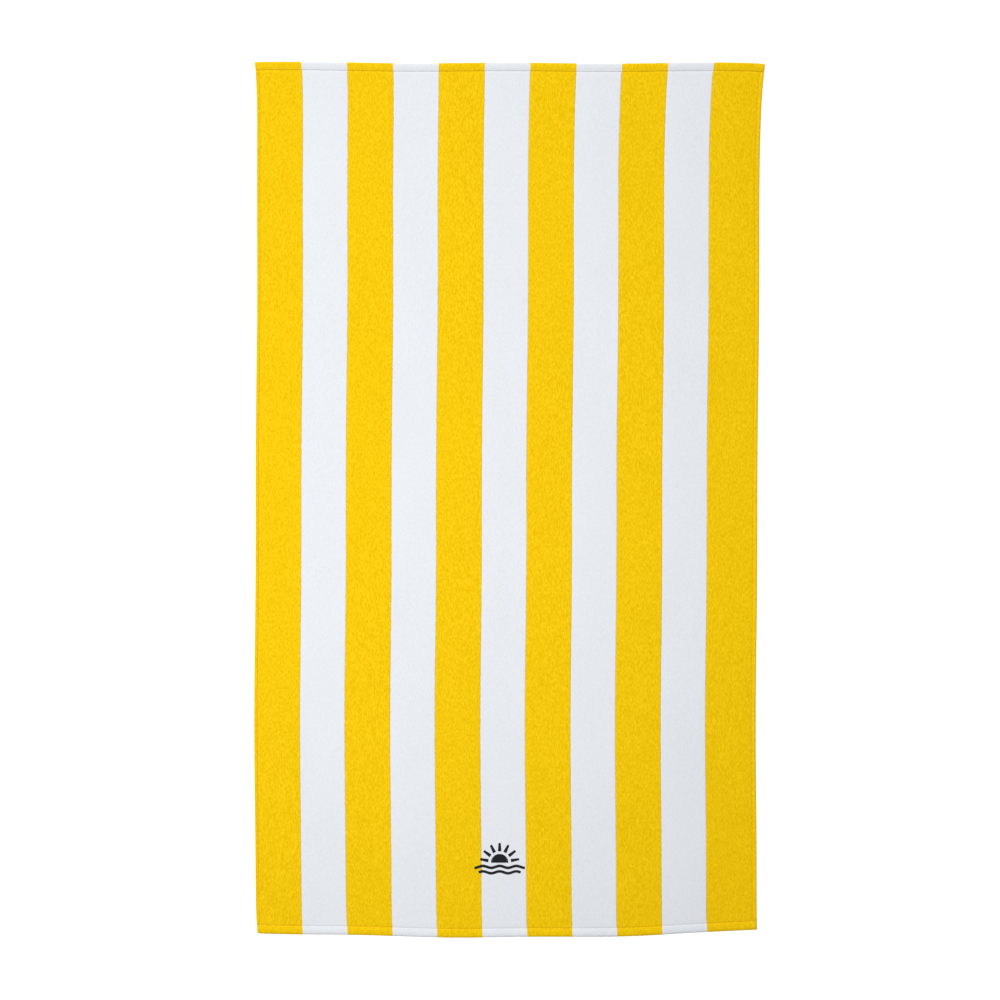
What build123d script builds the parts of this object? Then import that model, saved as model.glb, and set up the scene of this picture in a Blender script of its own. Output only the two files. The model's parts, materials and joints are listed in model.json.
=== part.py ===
"""A yellow and white cabana-striped terry beach towel, laid flat on its back pile.

Millimetres. X runs across the stripes, Y along them and Z up. The origin is the middle of the
footprint, on the surface that the towel lies on. The embroidery is at the -Y end, on the +Z face.

Each place on the cloth has two cloth coordinates: s, the distance across from the middle warp, and
v, the distance along from the bottom edge. lay(s, v) gives where that place lies on the table.
"""

from build123d import *
from math import asin, cos, degrees, exp, pi, sin
import os

# Cloth
LENGTH = 1778.0
LEFT_BORDER = 93.3
WHITE_STRIPE = 91.3
YELLOW_STRIPE = 92.2
WHITE_STRIPES = 5
RIGHT_BORDER = 101.9
BACK_PILE = 1.6
GROUND = 0.8
FACE_PILE = 1.4

# Hems and their seams
END_HEM = 17.0
SIDE_HEM = 7.2
HEM_SHOULDER = 2.2
HEM_CROWN = 3.8
HEM_EDGE_ROUND = 0.9
HEM_ARC_STEPS = 8
SEAM_GAP = 1.2
THREAD = 0.8

# How the cloth lies along its length: a sideways drift, a kick and a nip at the bottom edge and a
# flare at the top corners, the reaches as shares of half the length
DRIFT_LEAN = 4.9
DRIFT_BOW = -0.8
DRIFT_RIPPLE = 0.7
DRIFT_RIPPLE_START = 0.7
SHORT_RIPPLE = -0.9
SHORT_RIPPLE_START = 0.35
KICK = 4.4
NIP = 1.5
KICK_REACH = 0.06
FLARE = 8.2
FLARE_REACH = 0.073
TAPER = 0.7
LONG_STATIONS = (0.03, 0.06, 0.14, 0.25, 0.38, 0.5, 0.62, 0.75, 0.86, 0.92, 0.96)

# How the two ends lie: bowed and rippled, the ripples' lengths as shares of half the width
BOTTOM_BOW = 12.5
BOTTOM_SKEW = 3.5
BOTTOM_RIPPLE = 1.1
BOTTOM_RIPPLE_LENGTH = 0.69
BOTTOM_RIPPLE_START = -1.0
TOP_BOW = 1.7
TOP_LEAN = -0.8
TOP_RIPPLE = 0.9
TOP_RIPPLE_LENGTH = 0.79
TOP_DROOP = 2.6
TOP_DROOP_REACH = 0.06

# Embroidery: half a sun, its rays and two waves below it
MOTIF_ACROSS = -12.6
MOTIF_ALONG = 158.0
EMBROIDERY = 0.8
MOTIF_WIDTH = 102.0
HORIZON = -6.5
SUN_RADIUS = 18.0
RAY_INNER = 23.5
RAY_OUTER = 40.0
RAY_WIDTH = 8.4
RAY_TIP = 0.62
RAY_COUNT = 7
WAVE_PITCH = 11.0
WAVE_DROP = 8.5
WAVE_WIDTH = 6.8
WAVE_COUNT = 2
WAVE_HEIGHT = 2.0
WAVE_LENGTH = 34.0
WAVE_STEP = 3.0
WAVE_SHORTER = 17.0
BOBBIN_FILL = 0.5
BACKING = 0.3
BACKING_MARGIN = 6.0

# Care label on the back, sewn in at the bottom hem
LABEL_ACROSS = 430.0
LABEL_WIDTH = 38.0
LABEL_LENGTH = 62.0
LABEL_THICKNESS = 0.4

INNER_STRIPES = [WHITE_STRIPE, YELLOW_STRIPE] * (WHITE_STRIPES - 1) + [WHITE_STRIPE]
STRIPE_WIDTHS = [LEFT_BORDER, *INNER_STRIPES, RIGHT_BORDER]
STRIPES = len(STRIPE_WIDTHS)
HALF = sum(STRIPE_WIDTHS) / 2
STRIPE_EDGES = [sum(STRIPE_WIDTHS[:i]) - HALF for i in range(STRIPES)] + [HALF]
GROUND_LOW = BACK_PILE
GROUND_HIGH = BACK_PILE + GROUND
FACE_HIGH = GROUND_HIGH + FACE_PILE

# Walls either side of each seam groove, measured from the finished edge
END_WALL = END_HEM - SEAM_GAP / 2
END_FIELD = END_HEM + SEAM_GAP / 2
SIDE_WALL = SIDE_HEM - SEAM_GAP / 2
SIDE_FIELD = SIDE_HEM + SEAM_GAP / 2


def drift(t):
    """How far the cloth lies to the right at t, from -1 at the bottom edge to 1 at the top."""
    ripple = DRIFT_RIPPLE * sin(2 * pi * t + DRIFT_RIPPLE_START)
    ripple += SHORT_RIPPLE * sin(3 * pi * t + SHORT_RIPPLE_START)
    kick = KICK * exp(-(t + 1) / KICK_REACH)
    return DRIFT_LEAN * t + DRIFT_BOW * cos(pi * t) + ripple + kick


def spread(t):
    """How far each edge lies outside its own warp's place at t."""
    flare = FLARE * exp((t - 1) / FLARE_REACH)
    nip = NIP * exp(-(t + 1) / KICK_REACH)
    return flare + TAPER * t - nip


def bottom_edge(u):
    """How far the bottom edge lies along, at u from -1 at the left corner to 1 at the right."""
    ripple = BOTTOM_RIPPLE * cos(2 * pi * u / BOTTOM_RIPPLE_LENGTH + BOTTOM_RIPPLE_START)
    return -LENGTH / 2 + BOTTOM_BOW * u**2 + BOTTOM_SKEW * u**3 + ripple


def top_edge(u):
    """How far the top edge lies along at u."""
    ripple = TOP_RIPPLE * cos(2 * pi * u / TOP_RIPPLE_LENGTH)
    droop = TOP_DROOP * exp((u - 1) / TOP_DROOP_REACH)
    return LENGTH / 2 + TOP_BOW * u**2 + TOP_LEAN * u + ripple - droop


def lay_loose(s, v):
    """The place of the cloth's point (s, v), before the footprint is centred."""
    t = 2 * v / LENGTH - 1
    u = s / HALF
    low = bottom_edge(u)
    high = top_edge(u)
    return s + drift(t) + u * spread(t), low + (high - low) * v / LENGTH


def long_stations(inset):
    """Stations along the cloth, from inset above the bottom edge to inset below the top edge."""
    return [inset] + [f * LENGTH for f in LONG_STATIONS] + [LENGTH - inset]


def cross_stations(inset):
    """Stations across the cloth: both limits and every stripe boundary between them."""
    return [inset - HALF] + STRIPE_EDGES[1:-1] + [HALF - inset]


def footprint_centre():
    """The middle of the box round the laid outline."""
    sides = [lay_loose(s, v) for s in (-HALF, HALF) for v in long_stations(0)]
    ends = [lay_loose(s, v) for s in cross_stations(0) for v in (0, LENGTH)]
    xs = [x for x, _ in sides + ends]
    ys = [y for _, y in sides + ends]
    return (min(xs) + max(xs)) / 2, (min(ys) + max(ys)) / 2


CENTRE_X, CENTRE_Y = footprint_centre()


def lay(s, v):
    """Where the cloth's point (s, v) lies."""
    x, y = lay_loose(s, v)
    return x - CENTRE_X, y - CENTRE_Y


def slab(outline, low, high):
    """A flat layer of the given outline between two heights."""
    face = make_face(Polyline(*outline, close=True))
    return Pos(0, 0, low) * extrude(face, high - low, dir=(0, 0, 1))


def patch(left, right, inset, low, high):
    """A layer between two warps, from inset above the bottom edge to inset below the top edge."""
    rows = long_stations(inset)
    up = [lay(left, v) for v in rows]
    down = [lay(right, v) for v in reversed(rows)]
    return slab(up + down, low, high)


def stripe_name(face, i):
    """The node name of a stripe's pile: yellow and white take turns, starting with yellow."""
    colour = "white" if i % 2 else "yellow"
    return f"{face}_pile_{colour}_{i // 2 + 1}"


def stripe_limits(i):
    """The warps that stripe i's pile lies between, inside the side seams."""
    left = max(STRIPE_EDGES[i], SIDE_FIELD - HALF)
    right = min(STRIPE_EDGES[i + 1], HALF - SIDE_FIELD)
    return left, right


def ground_cloth():
    """The woven ground, reaching to the four hems."""
    columns = cross_stations(SIDE_WALL)
    rows = long_stations(END_WALL)
    bottom = [lay(s, END_WALL) for s in columns]
    right = [lay(HALF - SIDE_WALL, v) for v in rows[1:-1]]
    top = [lay(s, LENGTH - END_WALL) for s in reversed(columns)]
    left = [lay(SIDE_WALL - HALF, v) for v in reversed(rows[1:-1])]
    return slab(bottom + right + top + left, GROUND_LOW, GROUND_HIGH)


def hem_profile(width):
    """(distance in from the edge, height) round a turned hem: flat below, a half ellipse above."""
    points = [(HEM_EDGE_ROUND, 0), (width, 0)]
    for step in range(HEM_ARC_STEPS + 1):
        angle = pi * step / HEM_ARC_STEPS
        points.append((width * (1 + cos(angle)) / 2, HEM_SHOULDER + HEM_CROWN * sin(angle)))
    return points


def hem(edge_line, wall_line, width):
    """A turned hem from its outer edge's points to its inner wall's points."""
    sections = []
    for (x0, y0), (x1, y1) in zip(edge_line, wall_line):
        loop = [
            (x0 + (x1 - x0) * d / width, y0 + (y1 - y0) * d / width, z)
            for d, z in hem_profile(width)
        ]
        sections.append(make_face(Polyline(*loop, close=True)))
    return loft(sections, ruled=True)


def end_hem(edge_v, wall_v):
    """The hem across one end, over the ends of both side hems."""
    columns = [-HALF] + cross_stations(SIDE_WALL) + [HALF]
    return hem([lay(s, edge_v) for s in columns], [lay(s, wall_v) for s in columns], END_WALL)


def side_hem(side):
    """The hem along one side, -1 for the left and 1 for the right, between the end hems."""
    rows = long_stations(END_WALL)
    edge = [lay(side * HALF, v) for v in rows]
    wall = [lay(side * (HALF - SIDE_WALL), v) for v in rows]
    return hem(edge, wall, SIDE_WALL)


def end_thread(v, low):
    """A seam thread across the cloth at v, between the side hems."""
    columns = cross_stations(SIDE_WALL)
    near = [lay(s, v - THREAD / 2) for s in columns]
    far = [lay(s, v + THREAD / 2) for s in reversed(columns)]
    return slab(near + far, low, low + THREAD)


def side_thread(side, low):
    """A seam thread along one side, between the end seams."""
    middle = side * (HALF - SIDE_HEM)
    return patch(middle - THREAD / 2, middle + THREAD / 2, END_FIELD, low, low + THREAD)


def motif_place():
    """The middle of the embroidery."""
    x, y = lay(MOTIF_ACROSS, MOTIF_ALONG)
    return Pos(x, y, 0)


def sun_disc():
    """The half disc that stands on the horizon."""
    above = Pos(0, SUN_RADIUS / 2) * Rectangle(2 * SUN_RADIUS, SUN_RADIUS)
    return Pos(0, HORIZON) * (Circle(SUN_RADIUS) & above)


def sun_rays():
    """Tapered bars round the half disc."""
    bar = [
        (RAY_INNER, -RAY_WIDTH / 2),
        (RAY_OUTER, -RAY_TIP * RAY_WIDTH / 2),
        (RAY_OUTER, RAY_TIP * RAY_WIDTH / 2),
        (RAY_INNER, RAY_WIDTH / 2),
    ]
    ray = make_face(Polyline(*bar, close=True))
    turn = degrees(asin(RAY_WIDTH / 2 / RAY_INNER))
    gap = (180 - 2 * turn) / (RAY_COUNT - 1)
    return [Pos(0, HORIZON) * Rot(0, 0, turn + i * gap) * ray for i in range(RAY_COUNT)]


def wave(i):
    """One wavy bar below the horizon, each shorter than the one above."""
    middle = HORIZON - WAVE_DROP - WAVE_PITCH * i
    length = MOTIF_WIDTH - WAVE_SHORTER * i
    steps = round(length / WAVE_STEP)
    top = []
    for step in range(steps + 1):
        x = length * (step / steps - 0.5)
        top.append((x, middle + WAVE_HEIGHT * cos(2 * pi * x / WAVE_LENGTH) + WAVE_WIDTH / 2))
    bottom = [(x, y - WAVE_WIDTH) for x, y in reversed(top)]
    return make_face(Polyline(*top, *bottom, close=True))


def sewn(faces, low, thickness):
    """Embroidery of the given outlines, as separate raised areas of thread."""
    place = Pos(0, 0, low) * motif_place()
    return Compound([place * extrude(f, thickness, dir=(0, 0, 1)) for f in faces])


def motif_backing(low, high):
    """The stabiliser's rectangle between two heights."""
    width = MOTIF_WIDTH + 2 * BACKING_MARGIN
    bottom = HORIZON - WAVE_DROP - WAVE_PITCH * (WAVE_COUNT - 0.5) - BACKING_MARGIN
    top = HORIZON + RAY_OUTER + BACKING_MARGIN
    sheet = Pos(0, (top + bottom) / 2) * Rectangle(width, top - bottom)
    return Pos(0, 0, low) * motif_place() * extrude(sheet, high - low, dir=(0, 0, 1))


def label(high):
    """The care label, from the resting surface up to high."""
    left = LABEL_ACROSS
    right = LABEL_ACROSS + LABEL_WIDTH
    rows = (END_FIELD, END_FIELD + LABEL_LENGTH)
    corners = [lay(left, rows[0]), lay(right, rows[0]), lay(right, rows[1]), lay(left, rows[1])]
    return slab(corners, 0, high)


def build():
    """Every node of the towel, by name."""
    nodes = {"ground_cloth": ground_cloth()}
    pocket = motif_backing(0, BOBBIN_FILL + BACKING)
    for i in range(STRIPES):
        left, right = stripe_limits(i)
        face = patch(left, right, END_FIELD, GROUND_HIGH, FACE_HIGH)
        back = patch(left, right, END_FIELD, 0, GROUND_LOW)
        nodes[stripe_name("face", i)] = face
        nodes[stripe_name("back", i)] = back - pocket - label(LABEL_THICKNESS)
    nodes["hem_bottom"] = end_hem(0, END_WALL)
    nodes["hem_top"] = end_hem(LENGTH, LENGTH - END_WALL)
    nodes["hem_left"] = side_hem(-1)
    nodes["hem_right"] = side_hem(1)
    for kind, low in (("needle", GROUND_HIGH), ("bobbin", GROUND_LOW - THREAD)):
        nodes[f"{kind}_thread_bottom"] = end_thread(END_HEM, low)
        nodes[f"{kind}_thread_top"] = end_thread(LENGTH - END_HEM, low)
        nodes[f"{kind}_thread_left"] = side_thread(-1, low)
        nodes[f"{kind}_thread_right"] = side_thread(1, low)
    rays = sun_rays()
    waves = [wave(i) for i in range(WAVE_COUNT)]
    nodes["embroidery_sun"] = sewn([sun_disc()], FACE_HIGH, EMBROIDERY)
    nodes["embroidery_rays"] = sewn(rays, FACE_HIGH, EMBROIDERY)
    nodes["embroidery_waves"] = sewn(waves, FACE_HIGH, EMBROIDERY)
    nodes["embroidery_bobbin"] = sewn([sun_disc(), *rays, *waves], 0, BOBBIN_FILL)
    nodes["embroidery_backing"] = motif_backing(BOBBIN_FILL, BOBBIN_FILL + BACKING)
    nodes["care_label"] = label(LABEL_THICKNESS)
    return nodes


os.makedirs("parts", exist_ok=True)
for name, solid in build().items():
    export_step(solid, f"parts/{name}.step")
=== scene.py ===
"""A yellow and white striped terry beach towel with turned hems and a small embroidery, laid flat.

Metres. X runs across the stripes, Y along them and Z up out of the face pile. Each place on the
cloth has two cloth coordinates: s, the distance across from the middle warp, and v, the distance
along from the bottom edge. place(s, v, z) gives where that place lies.
"""

import json
import math

import bpy
import numpy as np
from bpy.props import FloatProperty, FloatVectorProperty, PointerProperty
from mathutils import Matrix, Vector

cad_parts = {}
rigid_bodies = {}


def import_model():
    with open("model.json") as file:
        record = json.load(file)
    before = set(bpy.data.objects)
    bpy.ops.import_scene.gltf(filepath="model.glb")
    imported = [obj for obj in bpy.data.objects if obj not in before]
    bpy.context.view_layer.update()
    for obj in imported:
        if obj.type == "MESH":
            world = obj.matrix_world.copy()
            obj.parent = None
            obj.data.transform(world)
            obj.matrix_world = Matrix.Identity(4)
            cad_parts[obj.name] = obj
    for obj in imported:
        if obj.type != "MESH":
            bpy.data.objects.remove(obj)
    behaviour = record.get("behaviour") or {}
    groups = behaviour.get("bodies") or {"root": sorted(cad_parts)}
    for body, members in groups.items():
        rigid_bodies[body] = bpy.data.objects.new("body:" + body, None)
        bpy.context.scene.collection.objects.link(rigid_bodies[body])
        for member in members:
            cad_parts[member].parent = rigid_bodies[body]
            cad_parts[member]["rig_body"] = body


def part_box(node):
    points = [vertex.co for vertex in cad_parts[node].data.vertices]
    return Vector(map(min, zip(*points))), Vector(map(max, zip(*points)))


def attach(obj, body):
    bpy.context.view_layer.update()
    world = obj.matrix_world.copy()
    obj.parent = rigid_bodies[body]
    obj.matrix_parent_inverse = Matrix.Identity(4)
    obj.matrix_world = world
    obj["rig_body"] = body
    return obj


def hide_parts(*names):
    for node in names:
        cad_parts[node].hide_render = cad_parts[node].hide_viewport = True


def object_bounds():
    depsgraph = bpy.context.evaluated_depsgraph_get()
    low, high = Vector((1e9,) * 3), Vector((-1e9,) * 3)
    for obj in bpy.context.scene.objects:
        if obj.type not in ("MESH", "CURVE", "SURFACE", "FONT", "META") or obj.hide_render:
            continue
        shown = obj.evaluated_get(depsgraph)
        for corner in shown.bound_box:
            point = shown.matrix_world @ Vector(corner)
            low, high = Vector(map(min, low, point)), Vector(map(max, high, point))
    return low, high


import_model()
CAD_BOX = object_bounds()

bl_info = {
    "name": "Striped Beach Towel",
    "version": (1, 0, 0),
    "blender": (4, 5, 0),
    "location": "3D Viewport > Sidebar > Towel",
    "description": "Makes a striped terry beach towel, piece by piece, round its packed frame",
    "category": "Add Mesh",
}

MM = 0.001

# Cloth
LENGTH = 1778 * MM
LEFT_BORDER = 93.3 * MM
WHITE_STRIPE = 91.3 * MM
YELLOW_STRIPE = 92.2 * MM
WHITE_STRIPES = 5
RIGHT_BORDER = 101.9 * MM
INNER_STRIPES = [WHITE_STRIPE, YELLOW_STRIPE] * (WHITE_STRIPES - 1) + [WHITE_STRIPE]
STRIPE_WIDTHS = [LEFT_BORDER, *INNER_STRIPES, RIGHT_BORDER]
STRIPES = len(STRIPE_WIDTHS)
WIDTH = sum(STRIPE_WIDTHS)
HALF = WIDTH / 2
STRIPE_EDGES = [sum(STRIPE_WIDTHS[:i]) - HALF for i in range(STRIPES)] + [HALF]

# Layers, from the frame
GROUND_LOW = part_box("ground_cloth")[0].z
GROUND_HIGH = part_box("ground_cloth")[1].z
FACE_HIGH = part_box("face_pile_yellow_1")[1].z
HEM_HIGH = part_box("hem_left")[1].z
STITCH_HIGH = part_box("embroidery_waves")[1].z
BOBBIN_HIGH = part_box("embroidery_bobbin")[1].z
BACKING_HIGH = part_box("embroidery_backing")[1].z
LABEL_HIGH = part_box("care_label")[1].z

# Hems and their seams
END_HEM = 17 * MM
SIDE_HEM = 7.2 * MM
SEAM_GAP = 1.2 * MM
END_WALL = END_HEM - SEAM_GAP / 2
END_FIELD = END_HEM + SEAM_GAP / 2
SIDE_WALL = SIDE_HEM - SEAM_GAP / 2
SIDE_FIELD = SIDE_HEM + SEAM_GAP / 2
HEM_BELLY = HEM_HIGH * 0.42
HEM_CORNER = 4 * MM
CORNER_NARROWING = 0.2
CREST_BEND = 2.5
SEAM_STEP = 0.1 * MM
SEAM_PINCH = 0.42
PINCH_REACH = 2.2 * MM
DIMPLE_REACH = 1.8 * MM
PUCKER_SIZE = 9 * MM
HEM_GRAIN_SIZE = 2.6 * MM
THREAD_SIDES = 8
THREAD_SWAY = 0.06 * MM
THREAD_SWAY_STITCHES = 7.3

# Stitches pull unevenly, and the pile beside a seam follows them
UNEVEN_PULL = 0.3
PULL_SIZE = 9 * MM
PULL_OPENING = 0.35
PULL_DIP = 0.35

# Where two stripes meet
WANDER_REACH = 4 * MM
WANDER_SIZE = 4.5 * MM
PARTING_SIZE = 55 * MM
PARTING_MIDDLE = 0.55
PARTING_SWING = 0.9
UNEVEN_PARTING = 0.25
UNEVEN_SIZE = 3.5 * MM

# Back pile
BACK_DIP = 0.8
BACK_CLEARANCE = 0.1 * MM
FINE_CLUMPS = 0.6

# How the cloth lies along its length: a sideways drift, a kick and a nip at the bottom edge and a
# flare at the top corners, the reaches as shares of half the length
DRIFT_LEAN = 4.9 * MM
DRIFT_BOW = -0.8 * MM
DRIFT_RIPPLE = 0.7 * MM
DRIFT_RIPPLE_START = 0.7
SHORT_RIPPLE = -0.9 * MM
SHORT_RIPPLE_START = 0.35
KICK = 4.4 * MM
NIP = 1.5 * MM
KICK_REACH = 0.06
FLARE = 8.2 * MM
FLARE_REACH = 0.073
TAPER = 0.7 * MM

# How the two ends lie: bowed and rippled, the ripples' lengths as shares of half the width
BOTTOM_BOW = 12.5 * MM
BOTTOM_SKEW = 3.5 * MM
BOTTOM_RIPPLE = 1.1 * MM
BOTTOM_RIPPLE_LENGTH = 0.69
BOTTOM_RIPPLE_START = -1.0
TOP_BOW = 1.7 * MM
TOP_LEAN = -0.8 * MM
TOP_RIPPLE = 0.9 * MM
TOP_RIPPLE_LENGTH = 0.79
TOP_DROOP = 2.6 * MM
TOP_DROOP_REACH = 0.06

# Embroidery
MOTIF_ACROSS = -12.6 * MM
MOTIF_ALONG = 158 * MM
MOTIF_WIDTH = 102 * MM
HORIZON = -6.5 * MM
SUN_RADIUS = 18 * MM
RAY_INNER = 23.5 * MM
RAY_OUTER = 40 * MM
RAY_WIDTH = 8.4 * MM
RAY_TIP = 0.62
RAY_COUNT = 7
WAVE_PITCH = 11 * MM
WAVE_DROP = 8.5 * MM
WAVE_WIDTH = 6.8 * MM
WAVE_COUNT = 2
WAVE_HEIGHT = 2 * MM
WAVE_LENGTH = 34 * MM
WAVE_SHORTER = 17 * MM
BACKING_MARGIN = 6 * MM
BACKING_CORNER = 5 * MM
BACKING_CRINKLE = 0.04 * MM
CRINKLE_SIZE = 7 * MM
STITCH_SINK = 0.6
STITCH_CLEARANCE = 0.1 * MM
STITCH_TAPER = 0.4
PAD_CROWN = 1.1
SHORTEST_CUT = 0.3

# Care label
LABEL_ACROSS = 430 * MM
LABEL_WIDTH = 38 * MM
LABEL_LENGTH = 62 * MM
TAPE_SHARE = 0.36

# Painted shade in the pile's colour: how dark it gets where its nap leans away, and in the gaps between
# its tufts
NAP_PAINTED_SHADE = 0.98
GAP_PAINTED_SHADE = 0.94

# Stage
FLOOR_GAP = 0.2 * MM
KEY_PLACE = (-1.4, 4.8, 4.16)
KEY_SIZE = 2.4
OVERHEAD_PLACE = (-0.6, -0.4, 2.57)
OVERHEAD_SIZE = 1.0

# Seeds of the random lumps
PULL_SEED = 3
PUCKER_SEED = 5
HEM_GRAIN_SEED = 7
FACE_SEED = 11
BACK_SEED = 23
CRINKLE_SEED = 31
WANDER_SEED = 41
PARTING_SEED = 43
UNEVEN_SEED = 47

# Mesh
EDGE_STEPS = np.array([0, 0.35, 0.8, 1.4, 2.2]) * MM
LATTICE = (257, 509)
SHARP_TURN = math.radians(50)


# ---------------------------------------------------------------- how the cloth lies


def drift(t):
    """How far the cloth lies to the right at t, from -1 at the bottom edge to 1 at the top."""
    sway = DRIFT_RIPPLE * np.sin(2 * math.pi * t + DRIFT_RIPPLE_START)
    sway = sway + SHORT_RIPPLE * np.sin(3 * math.pi * t + SHORT_RIPPLE_START)
    kick = KICK * np.exp(-(t + 1) / KICK_REACH)
    return DRIFT_LEAN * t + DRIFT_BOW * np.cos(math.pi * t) + sway + kick


def spread(t):
    """How far each edge lies outside its own warp's place at t."""
    flare = FLARE * np.exp((t - 1) / FLARE_REACH)
    nip = NIP * np.exp(-(t + 1) / KICK_REACH)
    return flare + TAPER * t - nip


def bottom_edge(u):
    """How far the bottom edge lies along, at u from -1 at the left corner to 1 at the right."""
    sway = BOTTOM_RIPPLE * np.cos(2 * math.pi * u / BOTTOM_RIPPLE_LENGTH + BOTTOM_RIPPLE_START)
    return -LENGTH / 2 + BOTTOM_BOW * u**2 + BOTTOM_SKEW * u**3 + sway


def top_edge(u):
    """How far the top edge lies along at u."""
    sway = TOP_RIPPLE * np.cos(2 * math.pi * u / TOP_RIPPLE_LENGTH)
    droop = TOP_DROOP * np.exp((u - 1) / TOP_DROOP_REACH)
    return LENGTH / 2 + TOP_BOW * u**2 + TOP_LEAN * u + sway - droop


def lay_loose(s, v):
    """Where the cloth's point (s, v) lies, before the footprint is centred."""
    t = 2 * v / LENGTH - 1
    u = s / HALF
    low, high = bottom_edge(u), top_edge(u)
    return s + drift(t) + u * spread(t), low + (high - low) * v / LENGTH


def footprint_shift():
    """What brings the middle of the loose outline to the middle of the frame's box."""
    across = np.linspace(-HALF, HALF, 401)
    along = np.linspace(0, LENGTH, 401)
    left, right = lay_loose(-HALF, along)[0], lay_loose(HALF, along)[0]
    bottom, top = lay_loose(across, 0)[1], lay_loose(across, LENGTH)[1]
    middle = (CAD_BOX[0] + CAD_BOX[1]) / 2
    return middle.x - (left.min() + right.max()) / 2, middle.y - (bottom.min() + top.max()) / 2


SHIFT_X, SHIFT_Y = footprint_shift()


def ripple(s, v):
    """How far the cloth stands off the floor in its faint, long ripples."""
    size = bpy.context.scene.towel_cloth.ripple
    wave = np.sin(11.3 * v + 3.1 * s + 0.6) + np.sin(7.1 * v - 9.7 * s + 2.2)
    wave += np.sin(17.9 * s + 4.3 * v + 4.0)
    return size * (wave / 6 + 0.5)


def place(s, v, z):
    """The points of the cloth at s across, v along and z above its own underside."""
    s, v, z = np.broadcast_arrays(s, v, z)
    x, y = lay_loose(s, v)
    return np.stack([x + SHIFT_X, y + SHIFT_Y, z + ripple(s, v)], axis=-1)


def lumps(s, v, across, along, seed):
    """Soft random lumps over the cloth, from -1 to 1, each about across by along in size."""
    grid = np.random.default_rng(seed).uniform(-1, 1, LATTICE)
    a, b = (s + 0.3 * v) / across, (v - 0.2 * s) / along
    i, j = np.floor(a).astype(int), np.floor(b).astype(int)
    p, q = a - i, b - j
    p, q = p * p * (3 - 2 * p), q * q * (3 - 2 * q)
    i0, i1 = i % LATTICE[0], (i + 1) % LATTICE[0]
    j0, j1 = j % LATTICE[1], (j + 1) % LATTICE[1]
    near = grid[i0, j0] * (1 - p) + grid[i1, j0] * p
    far = grid[i0, j1] * (1 - p) + grid[i1, j1] * p
    return near * (1 - q) + far * q


def dip(distance, depth, reach):
    """How far a pile rounds down at a distance from where it ends."""
    return depth * np.clip(1 - distance / reach, 0, 1) ** 2


def stitch_pull(along):
    """How hard a seam pulls the cloth down, from 0 between two needle holes to 1 at a hole."""
    hole = 0.5 + 0.5 * np.cos(2 * math.pi * along / bpy.context.scene.towel_sewing.seam_stitch)
    strength = lumps(along, along, PULL_SIZE, PULL_SIZE, PULL_SEED)
    return hole * (1 - UNEVEN_PULL + UNEVEN_PULL * strength)


# ---------------------------------------------------------------- mesh making


def graded(low, high, pitch):
    """Stations from low to high, closer together at both ends."""
    first, last = low + EDGE_STEPS, high - EDGE_STEPS[::-1]
    count = max(2, round((last[0] - first[-1]) / pitch) + 1)
    return np.concatenate([first[:-1], np.linspace(first[-1], last[0], count), last[1:]])


def volume(points, faces):
    """The signed volume that faces of one size add."""
    corner = points[faces[:, 0]]
    total = 0.0
    for k in range(1, faces.shape[1] - 1):
        turn = np.cross(points[faces[:, k]], points[faces[:, k + 1]])
        total += np.einsum("ij,ij->", corner, turn) / 6
    return total


def sweep(rings):
    """Points, side faces and end caps of tubes: rings is [tube, station, place in the ring, xyz]."""
    tubes, stations, around, _ = rings.shape
    index = np.arange(tubes * stations * around).reshape(tubes, stations, around)
    turned = np.roll(index, -1, axis=2)
    sides = [index[:, :-1], turned[:, :-1], turned[:, 1:], index[:, 1:]]
    sides = np.stack(sides, axis=-1).reshape(-1, 4)
    caps = np.concatenate([index[:, 0, ::-1], index[:, -1]])
    points = rings.reshape(-1, 3)
    if volume(points, sides) + volume(points, caps) < 0:
        sides, caps = sides[:, ::-1], caps[:, ::-1]
    return points, sides, caps


def new_piece(name, parts, materials, paint=None):
    """A closed, smooth mesh object from swept parts. paint gives each part's material numbers."""
    points, loops, sizes, numbers, start = [], [], [], [], 0
    for k, (part_points, sides, caps) in enumerate(parts):
        points.append(part_points)
        for faces in (sides, caps):
            loops.append((faces + start).reshape(-1))
            sizes.append(np.full(len(faces), faces.shape[1]))
        painted = np.zeros(len(sides) + len(caps), int) if paint is None else paint[k]
        numbers.append(painted)
        start += len(part_points)
    points, loops, sizes = np.concatenate(points), np.concatenate(loops), np.concatenate(sizes)
    mesh = bpy.data.meshes.new(name)
    mesh.vertices.add(len(points))
    mesh.vertices.foreach_set("co", points.astype(np.float32).reshape(-1))
    mesh.loops.add(len(loops))
    mesh.loops.foreach_set("vertex_index", loops.astype(np.int32))
    mesh.polygons.add(len(sizes))
    starts = np.concatenate([[0], np.cumsum(sizes)[:-1]])
    mesh.polygons.foreach_set("loop_start", starts.astype(np.int32))
    for material in materials:
        mesh.materials.append(material)
    mesh.polygons.foreach_set("material_index", np.concatenate(numbers).astype(np.int32))
    mesh.update(calc_edges=True)
    mesh.shade_smooth()
    mesh.set_sharp_from_angle(angle=SHARP_TURN)
    piece = bpy.data.objects.new(name, mesh)
    bpy.context.scene.collection.objects.link(piece)
    return piece


def dress(piece, slot, *nodes):
    """Rides the piece on the towel and hides the CAD nodes it stands for; slot is not used."""
    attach(piece, "root")
    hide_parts(*nodes)


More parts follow.
